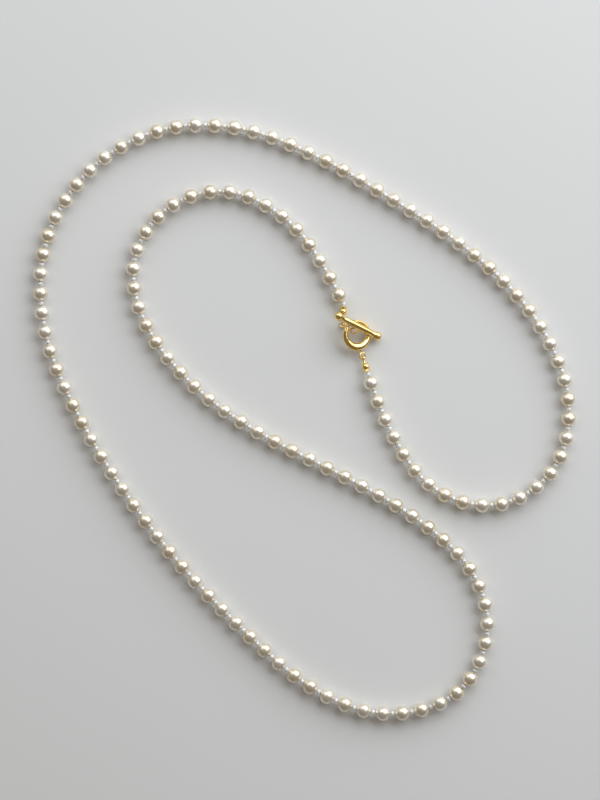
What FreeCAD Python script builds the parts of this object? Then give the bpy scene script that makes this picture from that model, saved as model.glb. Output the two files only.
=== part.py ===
import FreeCAD, Part

import math
import os

from FreeCAD import Placement, Rotation, Vector

# A long pearl necklace laid loosely on a table, fastened by its toggle clasp.
# Millimetres, +Z up, the table at Z = 0 and the origin under the middle of the lay.

SIZES = [
    ("pearl_diameter", 6.0),
    ("pearl_hole", 0.9),
    ("pearl_count", 135),
    ("pearls_per_length", 9),
    ("seed_diameter", 2.0),
    ("seed_width", 1.4),
    ("seed_hole", 0.7),
    ("seed_edge", 0.6),
    ("thread_diameter", 0.5),
    ("thread_gap", 0.14),
    ("tail_gap", 0.3),
    ("ring_diameter", 12.2),
    ("ring_hole", 8.0),
    ("ring_hole_shift", 1.0),
    ("ring_height", 2.2),
    ("ring_sections", 12),
    ("ring_tilt", 26.0),
    ("ring_middle_height", 3.31),
    ("eye_diameter", 2.3),
    ("eye_wire", 0.7),
    ("eye_reach", 8.3),
    ("eye_neck", 2.0),
    ("bar_length", 22.0),
    ("bar_bulb", 3.4),
    ("bar_middle", 2.8),
    ("bar_neck", 2.3),
    ("bar_neck_round", 5.0),
    ("bar_gap", 0.03),
    ("bar_eye_diameter", 2.7),
    ("bar_eye_wire", 0.65),
    ("bar_eye_reach", 2.75),
    ("link_length", 6.23),
    ("link_height", 1.9),
    ("link_wire", 0.45),
    ("jump_ring_diameter", 2.0),
    ("jump_ring_wire", 0.45),
    ("tip_a_reach", 3.45),
    ("tip_b_reach", 4.22),
    ("tip_ball", 3.0),
    ("tip_wall", 0.3),
    ("tip_collar_root", 2.1),
    ("tip_collar", 2.9),
    ("tip_collar_seat", 0.35),
    ("tip_collar_width", 0.85),
    ("tip_hook", 1.6),
    ("tip_wire", 0.5),
    ("tip_neck", 0.9),
    ("tip_mouth", 0.9),
    ("knot_diameter", 1.5),
    ("knot_play", 0.1),
]

# The thread's route on the table, from the seed bead beside the ring's bead tip, round the lay,
# to the seed bead beside the bar's bead tip. X and Y of each point; the thread runs at a pearl's centre.
ROUTE = [
    (24.5, 18), (27, 10), (33.5, -5.5), (44, -23), (61, -33.5), (82, -33.5), (100.5, -18),
    (104.5, 7), (96.5, 30.5), (81, 52), (58, 71.5), (30, 89), (5, 103.5), (-25, 115.5),
    (-57, 115.5), (-86.5, 99), (-104.5, 69), (-103.5, 33), (-89.5, 1), (-72.5, -27),
    (-50.5, -56), (-25, -82.5), (2, -106.5), (31, -117.5), (61, -109.5), (73.5, -84),
    (66.5, -58), (43, -37.5), (14, -21.5), (-18, -6), (-45.5, 13), (-65.5, 39),
    (-69, 64.5), (-55, 84.5), (-32, 91.5), (-11, 82.5), (4.5, 66), (14.8, 45.5),
]

# The share of the shorter run that each bend of the route takes up at either side of its point.
BEND_SHARE = 0.45

# How far a tube's volume may be from its section times its length, as a share.
VOLUME_SLACK = 0.01

# The clasp, as it lies. The ring's eye, the bar's middle and its turn are in the ring's own plane.
RING_MIDDLE = (20.1, 33.1)
RING_EYE_TURN = -73.0
BAR_TURN = -24.0
BAR_MIDDLE = (-0.8, 3.5)
BAR_EYE_ROLL = 50.0
JUMP_RING_MIDDLE = Vector(14.45, 37.4, 1.15)

X = Vector(1, 0, 0)
Y = Vector(0, 1, 0)
Z = Vector(0, 0, 1)

doc = FreeCAD.newDocument("pearl_necklace")
sheet = doc.addObject("Spreadsheet::Sheet", "Sizes")


def fill_sheet():
    for row, (name, value) in enumerate(SIZES, start=1):
        sheet.set(f"A{row}", name)
        sheet.set(f"B{row}", str(value))
        sheet.setAlias(f"B{row}", name)
    doc.recompute()


def size(name):
    return float(sheet.get(name))


def bind(piece, **formulas):
    """Ties properties of an object to the sheet; a double underscore stands for a dot."""
    for prop, formula in formulas.items():
        piece.setExpression(prop.replace("__", "."), formula)


def add(body, kind, name, **formulas):
    feature = body.newObject(f"PartDesign::{kind}", name)
    bind(feature, **formulas)
    return feature


def new_body(name):
    body = doc.addObject("PartDesign::Body", name)
    body.Label = name
    return body


def frame_along(origin, ahead, side):
    """A placement at origin with local X along ahead and local Y as near side as it can be."""
    return Placement(origin, Rotation(ahead, side, ahead.cross(side), "XYZ"))


def round_edges(body, is_chosen, radius):
    """Rounds the circular edges whose radius is_chosen accepts."""
    doc.recompute()
    base = body.Tip
    names = []
    for number, edge in enumerate(base.Shape.Edges, start=1):
        is_circle = not edge.Degenerated and edge.Curve.TypeId == "Part::GeomCircle"
        if is_circle and is_chosen(edge.Curve.Radius):
            names.append(f"Edge{number}")
    rounding = body.newObject("PartDesign::Fillet", "RoundedEdges")
    rounding.Base = (base, names)
    bind(rounding, Radius=radius)


def rod(body, kind, name, start, ahead, radius, length):
    """A cylinder from the point start towards ahead."""
    feature = add(body, kind, name, Radius=radius, Height=length)
    feature.Placement = Placement(start, Rotation(Z, ahead))


def ball(body, kind, name, middle, radius):
    """A sphere with its poles along X, where the holes through it lie."""
    feature = add(body, kind, name, Radius=radius)
    feature.Placement = Placement(middle, Rotation(Z, X))


# The forms that repeat along the strand, each made once, with its hole along X.


def drill_along_x(body, hole):
    start = Vector(-size("pearl_diameter") / 2, 0, 0)
    rod(body, "SubtractiveCylinder", "Hole", start, X, f"Sizes.{hole} / 2", "Sizes.pearl_diameter")


def pearl_form():
    body = new_body("pearl_form")
    ball(body, "AdditiveSphere", "Ball", Vector(), "Sizes.pearl_diameter / 2")
    drill_along_x(body, "pearl_hole")
    return body


def seed_form():
    body = new_body("seed_form")
    start = Vector(-size("seed_width") / 2, 0, 0)
    rod(body, "AdditiveCylinder", "Bead", start, X, "Sizes.seed_diameter / 2", "Sizes.seed_width")
    round_edges(body, lambda radius: True, "Sizes.seed_edge")
    drill_along_x(body, "seed_hole")
    return body


# The thread's path: straight runs joined by tangent arcs.


def corner(before, point, after):
    """The arc at a point of the route, and its radius."""
    back = (before - point).normalize()
    on = (after - point).normalize()
    reach = BEND_SHARE * min(before.distanceToPoint(point), after.distanceToPoint(point))
    half_turn = (math.pi - back.getAngle(on)) / 2
    radius = reach / math.tan(half_turn)
    inward = (back + on).normalize()
    middle = point + inward * (radius / math.cos(half_turn) - radius)
    return Part.Arc(point + back * reach, middle, point + on * reach).toShape(), radius


def thread_path():
    height = size("pearl_diameter") / 2
    points = [Vector(x, y, height) for x, y in ROUTE]
    edges = []
    radii = []
    start = points[0]
    for before, point, after in zip(points, points[1:], points[2:]):
        arc, radius = corner(before, point, after)
        edges.append(Part.LineSegment(start, arc.valueAt(arc.FirstParameter)).toShape())
        edges.append(arc)
        radii.append(radius)
        start = arc.valueAt(arc.LastParameter)
    edges.append(Part.LineSegment(start, points[-1]).toShape())
    print("bend radii:", [round(radius, 1) for radius in radii])
    return edges


def place_on(path, distance):
    """The frame on the path at a distance from its start: X along the path, Z up."""
    for edge in path:
        if distance <= edge.Length or edge is path[-1]:
            at = edge.getParameterByLength(min(distance, edge.Length))
            ahead = edge.tangentAt(at)
            return frame_along(edge.valueAt(at), ahead, Z.cross(ahead))
        distance -= edge.Length


def stretch(path, start, end):
    """The edges of the path between two distances from its start."""
    edges = []
    for edge in path:
        low = max(start, 0.0)
        high = min(end, edge.Length)
        if low < high:
            ends = edge.getParameterByLength(low), edge.getParameterByLength(high)
            edges.append(edge.Curve.toShape(*ends))
        start -= edge.Length
        end -= edge.Length
    return edges


# The strand, in lengths of several pearls that flex against one another at a seed bead.


def group(name, solids, home):
    """A sub-part of one or more solids, given where they lie and kept relative to their own place."""
    for solid in solids:
        solid.Placement = home.inverse() * solid.Placement
    piece = doc.addObject("Part::Feature", name)
    piece.Label = name
    piece.Shape = Part.makeCompound(solids)
    piece.Placement = home
    return piece


def copies(form, places):
    solids = []
    for place in places:
        solid = form.Shape.copy()
        solid.Placement = place
        solids.append(solid)
    return solids


def thread_length(path, start, end):
    edges = stretch(path, start, end)
    mouth = edges[0].valueAt(edges[0].FirstParameter)
    ahead = edges[0].tangentAt(edges[0].FirstParameter)
    section = Part.Wire(Part.makeCircle(size("thread_diameter") / 2, mouth, ahead))
    tube = Part.Wire(edges).makePipeShell([section], True, False)
    expected = math.pi * size("thread_diameter") ** 2 / 4 * (end - start)
    if abs(tube.Volume / expected - 1) > VOLUME_SLACK:
        raise RuntimeError("a length of thread has the wrong volume")
    return tube


def strand(path, pearl, seed):
    count = int(size("pearl_count"))
    per_length = int(size("pearls_per_length"))
    pitch = sum(edge.Length for edge in path) / count
    print("strand", round(pitch * count, 1), "mm, a pearl every", round(pitch, 3), "mm")
    bead_reach = size("seed_width") / 2
    pieces = []
    for first in range(0, count, per_length):
        last = first + per_length
        number = f"{first // per_length + 1:02d}"
        home = place_on(path, first * pitch)
        pearls = [place_on(path, (index + 0.5) * pitch) for index in range(first, last)]
        seeds = [place_on(path, index * pitch) for index in range(first, last + (last == count))]
        start = first * pitch - bead_reach * (first > 0)
        end = last * pitch - (bead_reach + size("thread_gap")) * (last < count)
        thread = thread_length(path, start, end)
        pieces.append(group(f"pearls_{number}", copies(pearl, pearls), home))
        pieces.append(group(f"seed_beads_{number}", copies(seed, seeds), home))
        pieces.append(group(f"thread_{number}", [thread], home))
    return pieces


# The clasp's ring, its bar and the bar's eye, each in the ring's own tilted frame.


def ring_section(angle):
    """An oval across the ring's wall, from its outer circle to its hole, which is off centre."""
    turn = math.radians(angle)
    shift = size("ring_hole_shift")
    across = math.sqrt((size("ring_hole") / 2) ** 2 - (shift * math.cos(turn)) ** 2)
    inner = shift * math.sin(turn) + across
    outer = size("ring_diameter") / 2
    squeeze = FreeCAD.Matrix()
    squeeze.scale((outer - inner) / 2, 1, size("ring_height") / 2)
    oval = Part.makeCircle(1.0, Vector(), Y).toNurbs().transformGeometry(squeeze)
    out_to_wall = Placement(X * ((outer + inner) / 2), Rotation())
    oval.Placement = Placement(Vector(), Rotation(Z, angle)) * out_to_wall
    return Part.Wire(oval.Edges)


def toggle_ring(home):
    """A crescent lofted round through ovals: thin under the bar, thick on the strand's side."""
    count = int(size("ring_sections"))
    sections = [ring_section(step * 360 / count) for step in range(count)]
    ring = doc.addObject("Part::Feature", "toggle_ring")
    ring.Label = "toggle_ring"
    ring.Shape = Part.makeLoft(sections, True, False, True)
    ring.Placement = home
    return ring


def wire_ring(name, diameter, wire):
    """A round wire ring in its own XY plane, sized over the middle of its wire."""
    body = new_body(name)
    add(body, "AdditiveTorus", "Wire", Radius1=f"Sizes.{diameter} / 2", Radius2=f"Sizes.{wire} / 2")
    return body


def soldered(name, loose, seat):
    """What is left of a piece where it is soldered to its seat."""
    joint = doc.addObject("Part::Cut", name)
    joint.Label = name
    joint.Base = loose
    joint.Tool = seat
    return joint


def ring_eye(ring, home):
    body = wire_ring("ring_eye_blank", "eye_diameter", "eye_wire")
    outward = Rotation(Z, RING_EYE_TURN) * X
    neck = Vector(-size("eye_diameter") / 2, 0, 0)
    rod(body, "AdditiveCylinder", "Neck", neck, -X, "Sizes.eye_wire / 2", "Sizes.eye_neck")
    body.Placement = home * Placement(outward * size("eye_reach"), Rotation(Z, RING_EYE_TURN))
    return soldered("ring_eye", body, ring)


def bar_outline():
    """Round bulbs run through a hollow neck into a shank that is a little fuller in its middle."""
    bulb = size("bar_bulb") / 2
    hollow = size("bar_neck_round")
    neck = size("bar_neck") / 2
    bulb_middle = X * (size("bar_length") / 2 - bulb)
    reach = math.sqrt((bulb + hollow) ** 2 - (neck + hollow) ** 2)
    hollow_middle = bulb_middle - X * reach + Y * (neck + hollow)
    lean = math.atan2(neck + hollow, -reach)
    meeting = bulb_middle + Rotation(Z, math.degrees(lean)) * X * bulb
    bulb_top = bulb_middle + Rotation(Z, math.degrees(lean) / 2) * X * bulb
    neck_side = hollow_middle - Rotation(Z, math.degrees(math.pi / 2 + lean) / 2) * X * hollow
    neck_end = hollow_middle - Y * hollow
    half = [
        (bulb_middle + X * bulb, bulb_top, meeting),
        (meeting, neck_side, neck_end),
    ]
    crown = (neck_end, Y * (size("bar_middle") / 2), Vector(-neck_end.x, neck_end.y, 0))
    mirrored = [tuple(Vector(-point.x, point.y, 0) for point in reversed(arc)) for arc in reversed(half)]
    return [Part.Arc(*arc).toShape() for arc in half + [crown] + mirrored]


def toggle_bar(home):
    outline = bar_outline()
    end = X * (size("bar_length") / 2)
    axis = Part.LineSegment(-end, end).toShape()
    profile = Part.Face(Part.Wire(outline + [axis]))
    body = doc.addObject("Part::Feature", "toggle_bar")
    body.Label = "toggle_bar"
    body.Shape = profile.revolve(Vector(), X, 360)
    body.Placement = home
    return body


def bar_eye(bar, home):
    """The bar's eye lies in a plane through the bar, turned down towards the ring's hole."""
    body = wire_ring("bar_eye_blank", "bar_eye_diameter", "bar_eye_wire")
    body.Placement = home
    return soldered("bar_eye", body, bar)


# The loose links between the bar's eye and its bead tip.


def toggle_link(home):
    """An oval link in its own XY plane, long along X, with the middle of one end at the origin."""
    body = new_body("toggle_link")
    side = (size("link_height") - size("link_wire")) / 2
    span = size("link_length") - size("link_height")
    radii = {"Radius1": "(Sizes.link_height - Sizes.link_wire) / 2", "Radius2": "Sizes.link_wire / 2"}
    for name, start, turned in (("NearEnd", 0, 90), ("FarEnd", span, -90)):
        end = add(body, "AdditiveTorus", name, **radii)
        end.Angle3 = 180
        end.Placement = Placement(X * start, Rotation(Z, turned))
    for name, across in (("UpperSide", side), ("LowerSide", -side)):
        length = "Sizes.link_length - Sizes.link_height"
        rod(body, "AdditiveCylinder", name, Y * across, X, "Sizes.link_wire / 2", length)
    body.Placement = home
    return body


def jump_ring(home):
    body = wire_ring("jump_ring", "jump_ring_diameter", "jump_ring_wire")
    body.Placement = home
    return body


# The bead tips: a hollow ball closed on the thread's knot, with a flared collar, a neck and a hook.


def bead_tip(name, reach, home):
    """The hook is centred on the origin and the mouth is towards +X."""
    body = new_body(name)
    middle = X * size(reach)
    collar = middle + X * (size("tip_ball") / 2 - size("tip_collar_seat"))
    neck = X * (size("tip_hook") / 2)
    ball(body, "AdditiveSphere", "Ball", middle, "Sizes.tip_ball / 2")
    flare = {"Radius1": "Sizes.tip_collar_root / 2", "Radius2": "Sizes.tip_collar / 2"}
    cone = add(body, "AdditiveCone", "Collar", Height="Sizes.tip_collar_width", **flare)
    cone.Placement = Placement(collar, Rotation(Z, X))
    add(body, "AdditiveTorus", "Hook", Radius1="Sizes.tip_hook / 2", Radius2="Sizes.tip_wire / 2")
    neck_length = f"Sizes.{reach} - Sizes.tip_ball / 2"
    rod(body, "AdditiveCylinder", "Neck", neck, X, "Sizes.tip_neck / 2", neck_length)
    ball(body, "SubtractiveSphere", "Cavity", middle, "Sizes.tip_ball / 2 - Sizes.tip_wall")
    rod(body, "SubtractiveCylinder", "Mouth", middle, X, "Sizes.tip_mouth / 2", "Sizes.tip_ball")
    body.Placement = home
    return body


def thread_knot(name, reach, tail, home):
    """The knot in the bead tip and the thread's tail out of its mouth."""
    body = new_body(name)
    seat = size(reach) + size("tip_ball") / 2 - size("tip_wall")
    middle = X * (seat - size("knot_play") - size("knot_diameter") / 2)
    ball(body, "AdditiveSphere", "Knot", middle, "Sizes.knot_diameter / 2")
    rod(body, "AdditiveCylinder", "Tail", middle, X, "Sizes.thread_diameter / 2", str(tail - middle.x))
    body.Placement = home
    return body


def tip_pieces(letter, hinge, wire, seed):
    """A bead tip and its knot, from the hinge on a wire ring towards the strand's end seed bead."""
    ahead = (seed - hinge).normalize()
    length = hinge.distanceToPoint(seed)
    joints[f"bead_tip_{letter}_hinge"] = (hinge, wire)
    home = frame_along(hinge, ahead, wire.cross(ahead))
    tail = length - size("seed_width") / 2 - size("tail_gap")
    return [
        bead_tip(f"bead_tip_{letter}", f"tip_{letter}_reach", home),
        thread_knot(f"thread_knot_{letter}", f"tip_{letter}_reach", tail, home),
    ]


# The clasp, fastened and joined to both ends of the strand.


def hang(middle, normal, diameter, towards):
    """The hinge and axis of a loose piece on a round wire ring, at the ring's side towards a point."""
    spoke = towards - middle
    spoke = (spoke - normal * spoke.dot(normal)).normalize()
    return middle + spoke * (size(diameter) / 2), normal.cross(spoke)


def link_pieces(eye_home):
    """The oval link and the jump ring between the bar's eye and its bead tip."""
    start, start_wire = hang(eye_home.Base, eye_home.Rotation * Z, "bar_eye_diameter", JUMP_RING_MIDDLE)
    end, end_wire = hang(JUMP_RING_MIDDLE, Z, "jump_ring_diameter", start)
    joints["link_hinge"] = (start, start_wire)
    joints["jump_ring_hinge"] = (end, end_wire)
    ahead = (end - start).normalize()
    flat = start_wire - end_wire
    return [
        toggle_link(frame_along(start, ahead, flat.cross(ahead))),
        jump_ring(Placement(JUMP_RING_MIDDLE, Rotation())),
    ]


def clasp(path):
    tilt = Placement(Vector(*RING_MIDDLE, size("ring_middle_height")), Rotation(Y, size("ring_tilt")))
    bar_height = (size("ring_height") + size("bar_middle")) / 2 + size("bar_gap")
    bar_home = tilt * Placement(Vector(*BAR_MIDDLE, bar_height), Rotation(Z, BAR_TURN))
    roll = Placement(Vector(), Rotation(X, BAR_EYE_ROLL))
    bar_eye_home = bar_home * roll * Placement(Y * -size("bar_eye_reach"), Rotation())
    ring_eye_middle = tilt * (Rotation(Z, RING_EYE_TURN) * X * size("eye_reach"))
    start = place_on(path, 0).Base
    end = place_on(path, sum(edge.Length for edge in path)).Base
    ring = toggle_ring(tilt)
    bar = toggle_bar(bar_home)
    pieces = [ring, ring_eye(ring, tilt), bar, bar_eye(bar, bar_eye_home)]
    pieces += link_pieces(bar_eye_home)
    pieces += tip_pieces("a", *hang(ring_eye_middle, tilt.Rotation * Z, "eye_diameter", start), start)
    pieces += tip_pieces("b", *hang(JUMP_RING_MIDDLE, Z, "jump_ring_diameter", end), end)
    return pieces


def check(pieces):
    for item in doc.Objects:
        if {"Invalid", "Error"} & set(item.State):
            raise RuntimeError(f"{item.Label}: {item.State}")
    for piece in pieces:
        if piece.Shape.isNull() or not piece.Shape.isValid():
            raise RuntimeError(f"{piece.Label} has no valid shape")


def report_joints():
    for name, (hinge, axis) in joints.items():
        print(name, "at", [round(value, 3) for value in hinge], "axis", [round(value, 4) for value in axis])


def main():
    fill_sheet()
    pearl = pearl_form()
    seed = seed_form()
    doc.recompute()
    path = thread_path()
    pieces = clasp(path) + strand(path, pearl, seed)
    doc.recompute()
    check(pieces)
    report_joints()
    os.makedirs("parts", exist_ok=True)
    for piece in pieces:
        piece.Shape.exportStep(f"parts/{piece.Label}.step")
    return pieces


# The hinge and axis of each of the clasp's loose pieces, by the joint's name.
joints = {}

parts = main()
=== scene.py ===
import math
import random

import bpy
from mathutils import Matrix, Vector, noise


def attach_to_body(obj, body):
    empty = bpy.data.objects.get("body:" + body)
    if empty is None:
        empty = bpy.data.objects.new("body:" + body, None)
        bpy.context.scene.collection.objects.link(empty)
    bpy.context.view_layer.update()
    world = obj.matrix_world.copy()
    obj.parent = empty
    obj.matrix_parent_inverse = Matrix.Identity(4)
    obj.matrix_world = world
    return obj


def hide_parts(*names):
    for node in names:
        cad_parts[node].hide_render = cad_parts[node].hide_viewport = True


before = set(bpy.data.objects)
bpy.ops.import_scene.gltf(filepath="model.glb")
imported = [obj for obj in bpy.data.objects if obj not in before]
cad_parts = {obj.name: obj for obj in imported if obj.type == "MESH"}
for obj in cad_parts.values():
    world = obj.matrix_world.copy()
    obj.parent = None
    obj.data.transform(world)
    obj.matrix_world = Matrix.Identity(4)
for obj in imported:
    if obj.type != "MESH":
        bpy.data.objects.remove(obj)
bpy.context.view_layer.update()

# Sizes in millimetres, as in the CAD; MM turns them into the frame's metres.
MM = 0.001
PEARL_COUNT = 135
PEARLS_PER_LENGTH = 9
PEARL_RADIUS = 3.0
PEARL_HOLE_RADIUS = 0.45
SEED_RADIUS = 1.0
SEED_WIDTH = 1.4
SEED_HOLE_RADIUS = 0.35
SEED_EDGE = 0.6
THREAD_DIAMETER = 0.5
THREAD_GAP = 0.14

# How far the pearls are from round, as shares of their radius.
PEARL_OVALNESS = 0.025
PEARL_LUMPS = 0.012
PEARL_RING_DEPTHS = (0.0, 0.006, 0.012)
PEARL_RING_WIDTH = 0.1
PEARL_RING_REACH = 0.5

# The noise that makes the lumps: its scale, how far apart the pearls' samples of it may lie,
# and the seed of every random draw.
LUMP_SCALE = 1.6
LUMP_FIELD = 50
CHANCE_SEED = 7

# How finely the round shapes are divided.
PEARL_ARC_STEPS = 26
PEARL_AROUND = 48
SEED_ARC_STEPS = 6
SEED_AROUND = 24
THREAD_AROUND = 12
ROUTE_RESOLUTION = 24

# How far to either side of a place the route's direction is read, in millimetres, and the
# rounding allowed when a distance along it is looked up.
DIRECTION_REACH = 0.3
ROUNDING = 1e-9

# The thread's route on the table, at the height of a pearl's centre.
ROUTE = [
    (24.5, 18), (27, 10), (33.5, -5.5), (44, -23), (61, -33.5), (82, -33.5), (100.5, -18),
    (104.5, 7), (96.5, 30.5), (81, 52), (58, 71.5), (30, 89), (5, 103.5), (-25, 115.5),
    (-57, 115.5), (-86.5, 99), (-104.5, 69), (-103.5, 33), (-89.5, 1), (-72.5, -27),
    (-50.5, -56), (-25, -82.5), (2, -106.5), (31, -117.5), (61, -109.5), (73.5, -84),
    (66.5, -58), (43, -37.5), (14, -21.5), (-18, -6), (-45.5, 13), (-65.5, 39),
    (-69, 64.5), (-55, 84.5), (-32, 91.5), (-11, 82.5), (4.5, 66), (14.8, 45.5),
]

# The camera looks straight down: the middle and height of its view at the pearls' middles.
VIEW_MIDDLE = (-2.2, 7.8)
VIEW_HEIGHT = 313.6
CAMERA_DISTANCE = 1000.0

# The colours that each material runs between, where in its noise the run starts and ends, and the
# colours of the floor and the room.
BLEND_START = 0.3
BLEND_END = 0.7
NACRE_TINTS = (0.94, 0.85, 0.69), (0.99, 0.93, 0.81)
NACRE_CLOUDS = (0.93, 0.90, 0.87), (1.0, 1.0, 1.0)
SEED_COLOURS = (0.97, 0.98, 0.98), (1.0, 1.0, 1.0)
GOLD_COLOURS = (0.95, 0.67, 0.22), (1.0, 0.77, 0.33)
THREAD_COLOURS = (0.78, 0.75, 0.69), (0.90, 0.88, 0.83)
FLOOR_COLOUR = (0.80, 0.80, 0.80)
ROOM_COLOUR = (1.0, 0.89, 0.76)

# The stage: lengths in metres, the windows' power in watts.
FLOOR_SIZE = 4.0
ROOM_STRENGTH = 0.19
WINDOW = {
    "place": (0.66, 0.70, 0.66),
    "width": 1.5,
    "height": 1.1,
    "power": 15.5,
    "colour": (0.91, 0.96, 1.0),
}
SIDE_WINDOW = {
    "place": (-0.50, 0.95, 0.72),
    "width": 1.15,
    "height": 1.1,
    "power": 5.0,
    "colour": (0.93, 0.97, 1.0),
}

# Edges of the CAD pieces that turn more than this, in degrees, stay sharp.
SHARP_ANGLE = 35

UP = Vector((0, 0, 1))


# Materials


def new_material(name, **inputs):
    material = bpy.data.materials.new(name)
    material.use_nodes = True
    shader = material.node_tree.nodes["Principled BSDF"]
    for key, value in inputs.items():
        shader.inputs[key.replace("_", " ")].default_value = value
    return material, material.node_tree, shader


def noise_texture(tree, scale, detail=3.0):
    place = tree.nodes.new("ShaderNodeTexCoord")
    texture = tree.nodes.new("ShaderNodeTexNoise")
    texture.inputs["Scale"].default_value = scale
    texture.inputs["Detail"].default_value = detail
    tree.links.new(place.outputs["Object"], texture.inputs["Vector"])
    return texture.outputs["Fac"]


def blend_colours(tree, factor, colours):
    """A soft run from the first colour to the second."""
    first, second = colours
    ramp = tree.nodes.new("ShaderNodeValToRGB")
    ramp.color_ramp.elements[0].position = BLEND_START
    ramp.color_ramp.elements[0].color = (*first, 1)
    ramp.color_ramp.elements[1].position = BLEND_END
    ramp.color_ramp.elements[1].color = (*second, 1)
    tree.links.new(factor, ramp.inputs["Fac"])
    return ramp.outputs["Color"]


def add_bump(tree, shader, height, strength, distance):
    bump = tree.nodes.new("ShaderNodeBump")
    bump.inputs["Strength"].default_value = strength
    bump.inputs["Distance"].default_value = distance
    tree.links.new(height, bump.inputs["Height"])
    tree.links.new(bump.outputs["Normal"], shader.inputs["Normal"])


def vary_roughness(tree, shader, factor, low, high):
    spread = tree.nodes.new("ShaderNodeMapRange")
    spread.inputs["To Min"].default_value = low
    spread.inputs["To Max"].default_value = high
    tree.links.new(factor, spread.inputs["Value"])
    tree.links.new(spread.outputs["Result"], shader.inputs["Roughness"])


def pearl_material():
    """Cream nacre with a satin, partly metallic lustre; each pearl has its own tint and faint clouds."""
    material, tree, shader = new_material(
        "nacre", Metallic=0.78, IOR=1.6, Coat_Weight=0.5, Coat_Roughness=0.12
    )
    geometry = tree.nodes.new("ShaderNodeNewGeometry")
    tint = blend_colours(tree, geometry.outputs["Random Per Island"], NACRE_TINTS)
    clouds = blend_colours(tree, noise_texture(tree, scale=260.0), NACRE_CLOUDS)
    mix = tree.nodes.new("ShaderNodeMix")
    mix.data_type = "RGBA"
    mix.blend_type = "MULTIPLY"
    mix.inputs["Factor"].default_value = 1.0
    tree.links.new(tint, mix.inputs["A"])
    tree.links.new(clouds, mix.inputs["B"])
    tree.links.new(mix.outputs["Result"], shader.inputs["Base Color"])
    vary_roughness(tree, shader, noise_texture(tree, scale=420.0), low=0.30, high=0.40)
    grain = noise_texture(tree, scale=700.0, detail=2.0)
    add_bump(tree, shader, grain, strength=0.15, distance=0.0003)
    return material


def seed_material():
    """Glossy glass, milky enough to show white on the table."""
    material, tree, shader = new_material(
        "seed_glass_clear", Roughness=0.12, IOR=1.5, Transmission_Weight=0.1, Coat_Weight=1.0,
        Coat_Roughness=0.04, Subsurface_Weight=0.5, Subsurface_Radius=(1, 1, 1), Subsurface_Scale=0.0008,
    )
    colour = blend_colours(tree, noise_texture(tree, scale=150.0, detail=1.0), SEED_COLOURS)
    tree.links.new(colour, shader.inputs["Base Color"])
    return material


def gold_material():
    material, tree, shader = new_material("gold_plate", Metallic=1.0)
    colour = blend_colours(tree, noise_texture(tree, scale=180.0), GOLD_COLOURS)
    tree.links.new(colour, shader.inputs["Base Color"])
    vary_roughness(tree, shader, noise_texture(tree, scale=500.0), low=0.07, high=0.15)
    grain = noise_texture(tree, scale=900.0, detail=2.0)
    add_bump(tree, shader, grain, strength=0.08, distance=0.0002)
    return material


def thread_material():
    material, tree, shader = new_material("thread_fibre", Roughness=0.85, Sheen_Weight=0.3)
    colour = blend_colours(tree, noise_texture(tree, scale=3000.0), THREAD_COLOURS)
    tree.links.new(colour, shader.inputs["Base Color"])
    add_bump(tree, shader, noise_texture(tree, scale=4000.0), strength=0.5, distance=0.0001)
    return material


def floor_material():
    colour = (*FLOOR_COLOUR, 1)
    return new_material("pale_floor", Base_Color=colour, Roughness=0.75, Specular_IOR_Level=0.3)[0]


# Meshes


def new_piece(name, vertices, faces, material):
    mesh = bpy.data.meshes.new(name)
    mesh.from_pydata(vertices, [], faces)
    mesh.shade_smooth()
    mesh.materials.append(material)
    piece = bpy.data.objects.new(name, mesh)
    bpy.context.scene.collection.objects.link(piece)
    return piece


def lathe(outline, around):
    """Vertices and faces of a closed outline of (radius, x) points turned round the X axis."""
    vertices = []
    for step in range(around):
        angle = 2 * math.pi * step / around
        for radius, x in outline:
            vertices.append(Vector((x, radius * math.cos(angle), radius * math.sin(angle))))
    count = len(outline)
    faces = []
    for step in range(around):
        here = step * count
        there = (step + 1) % around * count
        for index in range(count):
            after = (index + 1) % count
            faces.append((here + index, here + after, there + after, there + index))
    return vertices, faces


def arc_points(middle_radius, middle_x, radius, start, end, steps):
    """Points of an outline along an arc, whose angles are counted from the X axis."""
    points = []
    for step in range(steps + 1):
        angle = start + (end - start) * step / steps
        points.append((middle_radius + radius * math.sin(angle), middle_x + radius * math.cos(angle)))
    return points


def pearl_outline():
    edge = math.asin(PEARL_HOLE_RADIUS / PEARL_RADIUS)
    return arc_points(0, 0, PEARL_RADIUS, edge, math.pi - edge, PEARL_ARC_STEPS)


def seed_outline():
    """A short tube with well rounded outer edges."""
    half = SEED_WIDTH / 2
    middle = SEED_RADIUS - SEED_EDGE
    outer = arc_points(middle, half - SEED_EDGE, SEED_EDGE, 0, math.pi / 2, SEED_ARC_STEPS)
    outer += arc_points(middle, SEED_EDGE - half, SEED_EDGE, math.pi / 2, math.pi, SEED_ARC_STEPS)
    return [(SEED_HOLE_RADIUS, half)] + outer + [(SEED_HOLE_RADIUS, -half)]


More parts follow.
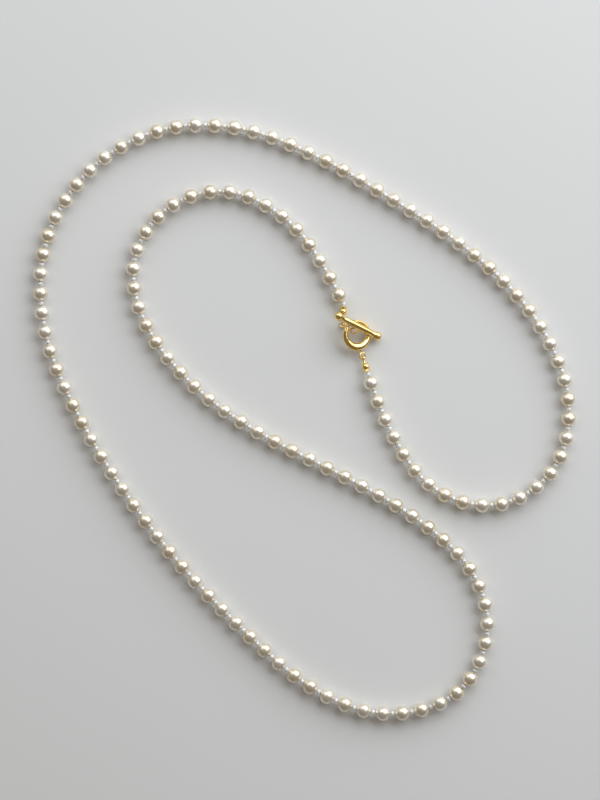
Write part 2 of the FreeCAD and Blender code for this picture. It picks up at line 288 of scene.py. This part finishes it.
def pearl_shape(vertices, chance):
    """A near-round pearl: a little short along the thread, with faint lumps and often a shallow ring."""
    slack = 1 - PEARL_LUMPS - chance.uniform(0, PEARL_OVALNESS)
    across = [1 + chance.uniform(-PEARL_OVALNESS, PEARL_OVALNESS / 2) for axis in range(2)]
    stretch = (slack, *across)
    turn = chance.uniform(0, 2 * math.pi)
    seed = Vector([chance.uniform(-LUMP_FIELD, LUMP_FIELD) for axis in range(3)])
    ring_at = chance.uniform(-PEARL_RING_REACH, PEARL_RING_REACH)
    ring_depth = chance.choice(PEARL_RING_DEPTHS)
    spin = Matrix.Rotation(turn, 3, "X")
    shaped = []
    for vertex in vertices:
        point = spin @ vertex
        ahead = point.normalized()
        lumps = PEARL_LUMPS * noise.noise(ahead * LUMP_SCALE + seed)
        ring = ring_depth * math.exp(-(((ahead.x - ring_at) / PEARL_RING_WIDTH) ** 2))
        point = point * (1 + lumps - ring)
        shaped.append(Vector(axis * share for axis, share in zip(point, stretch)))
    return shaped


def join_shapes(name, shapes, faces, places, material):
    """One mesh object of shapes that share their faces, each at its place, in metres."""
    vertices = []
    polygons = []
    for shape, place in zip(shapes, places):
        first = len(vertices)
        vertices += [place @ (vertex * MM) for vertex in shape]
        polygons += [tuple(first + index for index in face) for face in faces]
    return new_piece(name, vertices, polygons, material)


def route_points():
    """Points read from the route's smooth NURBS line."""
    curve = bpy.data.curves.new("route", "CURVE")
    curve.dimensions = "3D"
    curve.resolution_u = ROUTE_RESOLUTION
    spline = curve.splines.new("NURBS")
    spline.points.add(len(ROUTE) - 1)
    for point, (x, y) in zip(spline.points, ROUTE):
        point.co = (x * MM, y * MM, PEARL_RADIUS * MM, 1)
    spline.order_u = 3
    spline.use_endpoint_u = True
    line = bpy.data.objects.new("route", curve)
    mesh = bpy.data.meshes.new_from_object(line)
    points = [vertex.co.copy() for vertex in mesh.vertices]
    bpy.data.meshes.remove(mesh)
    bpy.data.objects.remove(line)
    return points


class Strand:
    """Places along the route, by the share of its whole length."""

    def __init__(self, points):
        self.points = points
        self.reached = [0.0]
        for before, after in zip(points, points[1:]):
            self.reached.append(self.reached[-1] + (after - before).length)
        self.length = self.reached[-1]
        self.pitch = self.length / PEARL_COUNT

    def point(self, distance):
        distance = min(max(distance, 0.0), self.length)
        index = next(i for i, reached in enumerate(self.reached[1:]) if reached >= distance - ROUNDING)
        span = self.reached[index + 1] - self.reached[index]
        share = (distance - self.reached[index]) / span
        return self.points[index].lerp(self.points[index + 1], share)

    def place(self, distance):
        """The frame at a distance: X along the thread, Z up."""
        reach = DIRECTION_REACH * MM
        ahead = (self.point(distance + reach) - self.point(distance - reach)).normalized()
        turn = Matrix((ahead, UP.cross(ahead), UP)).transposed().to_4x4()
        return Matrix.Translation(self.point(distance)) @ turn

    def stretch(self, start, end):
        """The points at two distances, with the route's own points between them."""
        inner = [p for p, reached in zip(self.points, self.reached) if start < reached < end]
        return [self.point(start)] + inner + [self.point(end)]


def tube(name, points, radius, material):
    """A round tube along points that lie level."""
    around = THREAD_AROUND
    vertices = []
    for index, point in enumerate(points):
        before = points[max(index - 1, 0)]
        after = points[min(index + 1, len(points) - 1)]
        side = UP.cross(after - before).normalized()
        for step in range(around):
            angle = 2 * math.pi * step / around
            vertices.append(point + radius * (side * math.cos(angle) + UP * math.sin(angle)))
    faces = [tuple(reversed(range(around))), tuple(range(len(vertices) - around, len(vertices)))]
    for index in range(len(points) - 1):
        for step in range(around):
            here = index * around
            after = (step + 1) % around
            faces.append((here + step, here + after, here + around + after, here + around + step))
    return new_piece(name, vertices, faces, material)


# The necklace


def attach(piece, body, node):
    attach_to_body(piece, body)
    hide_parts(node)


def build_thread(number, strand, start, end, fibre):
    points = strand.stretch(start, end)
    thread = tube(f"fibre_thread_{number}", points, THREAD_DIAMETER / 2 * MM, fibre)
    attach(thread, f"strand_{number}", f"thread_{number}")


def build_strand(nacre, glass, fibre):
    """The strand's lengths, each with its pearls, seed beads and thread, on the length's own body."""
    chance = random.Random(CHANCE_SEED)
    strand = Strand(route_points())
    pearl_vertices, pearl_faces = lathe(pearl_outline(), PEARL_AROUND)
    seed_vertices, seed_faces = lathe(seed_outline(), SEED_AROUND)
    bead_reach = SEED_WIDTH / 2 * MM
    for first in range(0, PEARL_COUNT, PEARLS_PER_LENGTH):
        last = first + PEARLS_PER_LENGTH
        is_end = last == PEARL_COUNT
        number = f"{first // PEARLS_PER_LENGTH + 1:02d}"
        body = f"strand_{number}"
        places = [strand.place((index + 0.5) * strand.pitch) for index in range(first, last)]
        shapes = [pearl_shape(pearl_vertices, chance) for place in places]
        pearls = join_shapes(f"nacre_pearls_{number}", shapes, pearl_faces, places, nacre)
        attach(pearls, body, f"pearls_{number}")
        places = [strand.place(index * strand.pitch) for index in range(first, last + is_end)]
        shapes = [seed_vertices for place in places]
        seeds = join_shapes(f"glass_seeds_{number}", shapes, seed_faces, places, glass)
        attach(seeds, body, f"seed_beads_{number}")
        start = first * strand.pitch - bead_reach * (first > 0)
        end = last * strand.pitch - (bead_reach + THREAD_GAP * MM) * (not is_end)
        build_thread(number, strand, start, end, fibre)


def dress_cad_pieces(gold, fibre):
    """The clasp, bead tips and knots keep their CAD shapes; the numbered nodes are the strand's."""
    for name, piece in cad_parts.items():
        if name[-2:].isdigit():
            continue
        piece.data.materials.clear()
        piece.data.materials.append(fibre if name.startswith("thread_knot") else gold)
        piece.data.shade_smooth()
        piece.data.set_sharp_from_angle(angle=math.radians(SHARP_ANGLE))


# The stage


def build_floor():
    bpy.ops.mesh.primitive_plane_add(size=FLOOR_SIZE, location=(0, 0, 0))
    floor = bpy.context.object
    floor.name = "floor"
    floor.data.materials.append(floor_material())


def add_area_light(name, place, width, height, power, colour):
    light = bpy.data.lights.new(name, "AREA")
    light.shape = "RECTANGLE"
    light.size = width
    light.size_y = height
    light.energy = power
    light.color = colour
    lamp = bpy.data.objects.new(name, light)
    lamp.location = place
    lamp.rotation_euler = (-Vector(place)).to_track_quat("-Z", "Y").to_euler()
    bpy.context.scene.collection.objects.link(lamp)


def build_light():
    """A broad window at the upper right, a weaker one at the upper left and a dim, warm room."""
    bpy.context.scene.view_settings.view_transform = "Standard"
    world = bpy.data.worlds.new("studio")
    bpy.context.scene.world = world
    world.use_nodes = True
    backdrop = world.node_tree.nodes["Background"]
    backdrop.inputs["Color"].default_value = (*ROOM_COLOUR, 1)
    backdrop.inputs["Strength"].default_value = ROOM_STRENGTH
    add_area_light("window", **WINDOW)
    add_area_light("side_window", **SIDE_WINDOW)


def build_camera():
    camera = bpy.data.cameras.new("camera")
    camera.sensor_fit = "VERTICAL"
    camera.lens = camera.sensor_height * CAMERA_DISTANCE / VIEW_HEIGHT
    holder = bpy.data.objects.new("camera", camera)
    x, y = VIEW_MIDDLE
    holder.location = Vector((x, y, PEARL_RADIUS + CAMERA_DISTANCE)) * MM
    bpy.context.scene.collection.objects.link(holder)
    bpy.context.scene.camera = holder


fibre = thread_material()
build_strand(pearl_material(), seed_material(), fibre)
dress_cad_pieces(gold_material(), fibre)
build_floor()
build_light()
build_camera()
